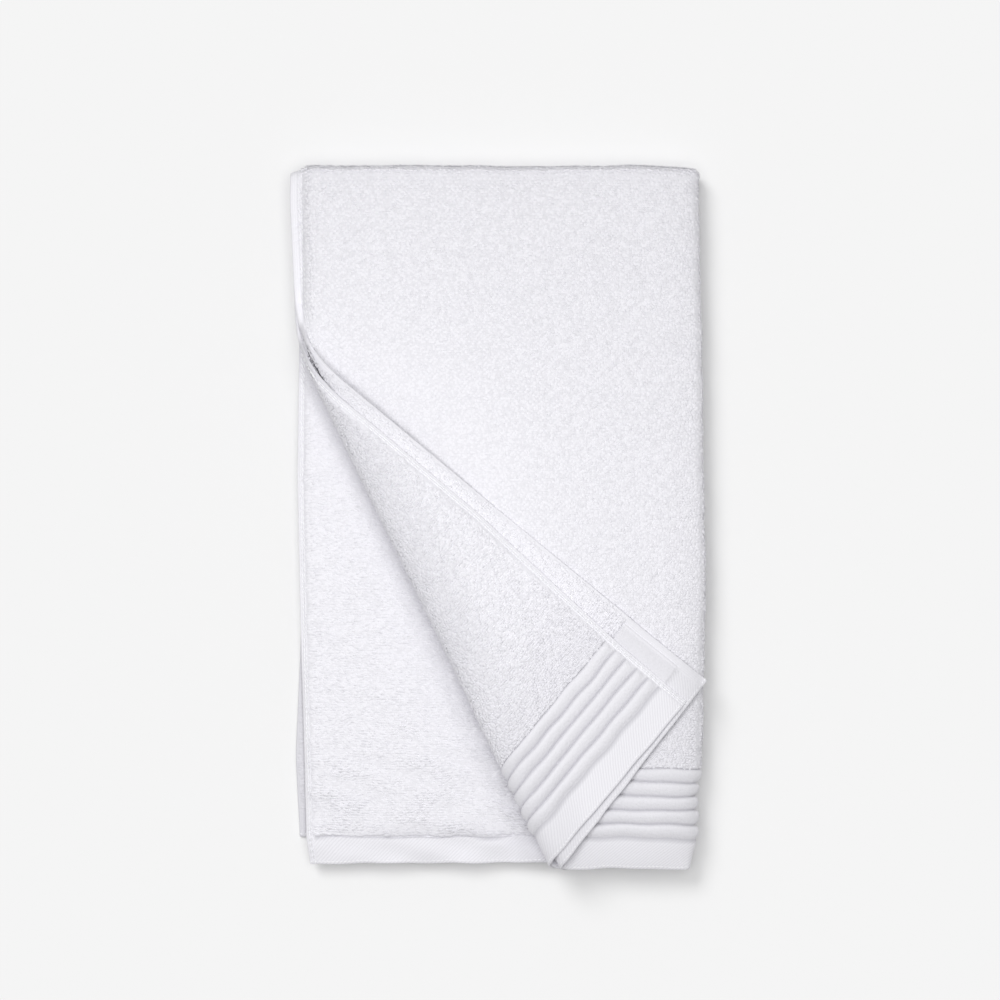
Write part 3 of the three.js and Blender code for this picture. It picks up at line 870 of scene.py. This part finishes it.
def make_pile(towel, template):
    """Grows loops on every stretch of terry that shows, in a few joined pieces."""
    tree = BVHTree.FromObject(towel, bpy.context.evaluated_depsgraph_get())
    across, along = loop_seeds(RIB_END + PILE_FROM_BORDER,
                               CLOTH_LENGTH - BACK_BORDER - PILE_FROM_BORDER)
    across, along = np.tile(across, 2), np.tile(along, 2)
    outward = np.repeat([1, -1], len(across) // 2)
    places = drape(across, along)
    ragged = RAGGED * pile_edge_waves.at(across, along)
    strip = np.where(outward > 0, places["strip"], BACK_STRIP)
    kept = places["from_selvedge"] > strip + PILE_FROM_STRIP - ragged
    across, along, outward = across[kept], along[kept], outward[kept]
    places = drape(across, along)
    normals = places["faces"] * outward[:, None]
    seen = in_the_open(tree, places["points"], normals)
    across, along, outward = across[seen], along[seen], outward[seen]
    on_back = places["on_back"][seen]
    y = places["points"][seen][:, 1]
    rolled = places["turned"][seen] > ROLLED
    panel = ~rolled & ~on_back
    far, near = y > FAR_PILE_FROM, y <= NEAR_PILE_TO
    groups = {
        "panel_pile_far": ("panel", panel & far),
        "panel_pile_middle": ("panel", panel & ~far & ~near),
        "panel_pile_near": ("panel", panel & near),
        "flap_pile": ("flap", rolled),
        "lower_pile": ("lower", ~rolled & on_back),
    }
    made = []
    for name, (style, chosen) in groups.items():
        seeds = across[chosen], along[chosen], outward[chosen]
        made.append(loops_mesh(name, STYLES[style], *seeds, template))
    return made


# The grey that is painted into cotton as shade, and the radians that a wave texture of scale 1
# turns by over each unit
PAINTED_SHADE_GREY = "#cac9cf"
WAVE_RATE = 20


def linear(hex_colour):
    """An sRGB hex colour as the linear one that a shader takes."""
    parts = [int(hex_colour[place:place + 2], 16) / 255 for place in (1, 3, 5)]
    return (*(part / 12.92 if part <= 0.04045 else ((part + 0.055) / 1.055) ** 2.4
              for part in parts), 1)


def add_node(tree, kind, inputs=None, **settings):
    """Adds a node with its settings. inputs gives a value, or the socket to link, by socket."""
    made = tree.nodes.new(kind)
    for name, value in settings.items():
        setattr(made, name, value)
    for socket, value in (inputs or {}).items():
        if isinstance(value, bpy.types.NodeSocket):
            tree.links.new(value, made.inputs[socket])
        else:
            made.inputs[socket].default_value = value
    return made


def cotton(name, roughness, sheen):
    """Bleached cotton: a matt white with a faint cool cast and soft edge sheen."""
    material = bpy.data.materials.new(name)
    material.use_nodes = True
    tree = material.node_tree
    shader = tree.nodes["Principled BSDF"]
    shader.inputs["Roughness"].default_value = roughness
    shader.inputs["IOR"].default_value = 1.53
    shader.inputs["Specular IOR Level"].default_value = 0.2
    shader.inputs["Sheen Weight"].default_value = sheen
    shader.inputs["Sheen Roughness"].default_value = 0.6
    return material, tree, shader


def add_yarn(tree, shader, spacing, depth):
    """Raises the fine unevenness of spun yarn. The yarn is about 0.4 mm thick. Its spacing is
    drawn coarser, because a pixel of the render is 0.5 mm wide."""
    cloth = add_node(tree, "ShaderNodeTexCoord")
    yarn = add_node(tree, "ShaderNodeTexNoise", inputs={
        "Vector": cloth.outputs["Object"], "Scale": 1 / (spacing * MM), "Detail": 2,
        "Roughness": 0.6})
    bump = add_node(tree, "ShaderNodeBump", inputs={
        "Strength": 1, "Distance": depth * MM, "Height": yarn.outputs["Fac"]})
    tree.links.new(bump.outputs["Normal"], shader.inputs["Normal"])
    return yarn, bump


def colour_cloth(tree, shader, share, dark, light):
    """Colours cotton between two hex colours, and paints shade into it with a grey between ribs,
    beside stitches, under other cloth and wherever else little light gets in."""
    colour = add_node(tree, "ShaderNodeMix", data_type="RGBA", inputs={
        0: share, 6: linear(dark), 7: linear(light)})
    # Painted shade: the colour is mixed towards a grey where the cloth is marked for shade
    painted_shade = add_node(tree, "ShaderNodeAttribute", attribute_name="painted_shade")
    shaded = add_node(tree, "ShaderNodeMix", data_type="RGBA", inputs={
        0: painted_shade.outputs["Fac"], 6: colour.outputs[2], 7: linear(PAINTED_SHADE_GREY)})
    tree.links.new(shaded.outputs[2], shader.inputs["Base Color"])


def looped_cotton():
    """Terry loops of soft two-ply cotton: each loop's tone differs a little, and light and shade
    are painted on the loops in places.
    """
    material, tree, shader = cotton("looped_cotton", 0.95, 0.25)
    tone_and_painted_light = add_node(tree, "ShaderNodeAttribute", attribute_name="tone_and_painted_light")
    colour_cloth(tree, shader, tone_and_painted_light.outputs["Fac"], "#e8e7ec", "#f4f3f8")
    add_yarn(tree, shader, spacing=0.9, depth=0.2)
    return material


def terry_ground():
    """The ground weave between the loops, painted a little dimmer than they are as shade between
    them.
    """
    material, tree, shader = cotton("terry_ground", 0.95, 0.1)
    shader.inputs["Base Color"].default_value = linear("#ecebf0")
    add_yarn(tree, shader, spacing=1.2, depth=0.3)
    return material


def ribbed_weave():
    """Padded cross ribs in a fine plain weave: smooth and matt, with faint flecks of yarn."""
    material, tree, shader = cotton("ribbed_weave", 0.85, 0.2)
    yarn, _ = add_yarn(tree, shader, spacing=1.1, depth=0.4)
    colour_cloth(tree, shader, yarn.outputs["Fac"], "#e4e3e8", "#f2f1f6")
    return material


def lined_weave(name, slant, spacing, height, unevenness, colours, yarn):
    """A flat weave with fine raised lines, slanting by some degrees from along the cloth."""
    material, tree, shader = cotton(name, 0.85, 0.15)
    cloth = add_node(tree, "ShaderNodeUVMap", uv_map="cloth")
    turned = add_node(tree, "ShaderNodeMapping", inputs={
        "Vector": cloth.outputs["UV"], "Rotation": (0, 0, math.radians(slant))})
    lines = add_node(tree, "ShaderNodeTexWave", bands_direction="X", inputs={
        "Vector": turned.outputs["Vector"], "Scale": 2 * math.pi / WAVE_RATE / spacing,
        "Detail": 2, **unevenness})
    colour_cloth(tree, shader, lines.outputs["Fac"], *colours)
    _, bump = add_yarn(tree, shader, **yarn)
    raised = add_node(tree, "ShaderNodeBump", inputs={
        "Strength": 1, "Distance": height * MM, "Height": lines.outputs["Fac"],
        "Normal": bump.outputs["Normal"]})
    tree.links.new(raised.outputs["Normal"], shader.inputs["Normal"])
    return material


def twill_weave():
    """The hem borders' twill: fine slanting lines, uneven as spun yarn is."""
    return lined_weave(
        "twill_weave", slant=48.5, spacing=1.35, height=0.07,
        unevenness={"Distortion": 1.2, "Detail Scale": 2}, colours=("#e9e8ed", "#f4f3f8"),
        yarn={"spacing": 0.9, "depth": 0.12})


def selvedge_weave():
    """The flat strip along each selvedge: a close weave with fine lines along it."""
    return lined_weave(
        "selvedge_weave", slant=0, spacing=1.1, height=0.03,
        unevenness={"Distortion": 1.5, "Detail Scale": 1.5}, colours=("#f1f0f5", "#f5f4f9"),
        yarn={"spacing": 1.3, "depth": 0.22})


def sewing_thread():
    """Twisted cotton thread of the stitches: brighter and a little glossier than the cloth."""
    material, tree, shader = cotton("sewing_thread", 0.6, 0.1)
    shader.inputs["Base Color"].default_value = linear("#f8f8fb")
    return material


def make_floor():
    """The plain pale floor, matt and wide enough to fill the view."""
    bpy.ops.mesh.primitive_plane_add(size=6, location=(0, 0, 0))
    floor = bpy.context.object
    floor.name = "floor"
    material = bpy.data.materials.new("pale_floor")
    material.use_nodes = True
    shader = material.node_tree.nodes["Principled BSDF"]
    shader.inputs["Base Color"].default_value = linear("#eaeaea")
    shader.inputs["Roughness"].default_value = 1
    shader.inputs["Specular IOR Level"].default_value = 0
    floor.data.materials.append(material)
    return floor


def light_only(light, receivers):
    """Lets a light fall on the receivers alone."""
    lit = bpy.data.collections.new(light.name)
    for piece in receivers:
        lit.objects.link(piece)
    light.light_linking.receiver_collection = lit


def add_soft_sun(name, come_from, spread, strength, receivers):
    """A soft distant light from one side, its spread in degrees."""
    bpy.ops.object.light_add(type="SUN", location=come_from)
    sun = bpy.context.object
    sun.name = name
    sun.data.energy = strength
    sun.data.angle = math.radians(spread)
    sun.rotation_euler = Vector(come_from).to_track_quat("Z", "Y").to_euler()
    light_only(sun, receivers)


def add_softbox(name, place, width, watts, receivers):
    """A round softbox that hangs face down, its place and width in metres."""
    bpy.ops.object.light_add(type="AREA", location=place)
    softbox = bpy.context.object
    softbox.name = name
    softbox.data.shape = "DISK"
    softbox.data.size = width
    softbox.data.energy = watts
    light_only(softbox, receivers)


def light_scene(cloth_pieces, floor):
    """Soft studio light: an even room, a softbox above the middle of the towel, a faint fill
    from the far side, and on the floor a ceiling light and a lamp from the far left that casts
    the shadow there."""
    world = bpy.data.worlds.new("soft_room")
    world.use_nodes = True
    background = world.node_tree.nodes["Background"]
    background.inputs["Color"].default_value = (1, 1, 1, 1)
    background.inputs["Strength"].default_value = 0.38
    bpy.context.scene.world = world
    add_softbox("softbox", (-0.06, 0.0, 0.72), width=0.48, watts=3.6, receivers=cloth_pieces)
    add_soft_sun("far_fill", (0, 1.0, 0.3), spread=60, strength=0.3, receivers=cloth_pieces)
    add_soft_sun("ceiling", (0, 0, 1.0), spread=60, strength=1.34, receivers=[floor])
    add_soft_sun("lamp", (-0.62, 0.8, 1.0), spread=26, strength=1.35, receivers=[floor])


def add_camera():
    """Straight above, with a long lens, so that the view is the photograph's width. Places
    and sizes are in metres."""
    view_width = 0.508
    view_centre = (0.00076, 0.00914)
    distance = 3.0
    cloth_height = 0.016
    bpy.ops.object.camera_add(location=(*view_centre, distance))
    camera = bpy.context.object
    camera.data.sensor_width = 36
    camera.data.lens = camera.data.sensor_width * (distance - cloth_height) / view_width
    camera.data.clip_end = 20
    bpy.context.scene.camera = camera
    bpy.context.scene.view_settings.view_transform = "Standard"


add_camera()
floor = make_floor()
towel = make_towel()
for make in (terry_ground, ribbed_weave, twill_weave, selvedge_weave):
    towel.data.materials.append(make())
template = loop_template(rings=2, bow=0.3)
piles = make_pile(towel, template)
loops = looped_cotton()
for piece in piles:
    piece.data.materials.append(loops)
stitches = make_stitches(template)
thread = sewing_thread()
for piece in stitches:
    piece.data.materials.append(thread)

pieces = [towel, *piles, *stitches]
light_scene(pieces, floor)
for piece in pieces:
    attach(piece, "root")
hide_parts("towel")
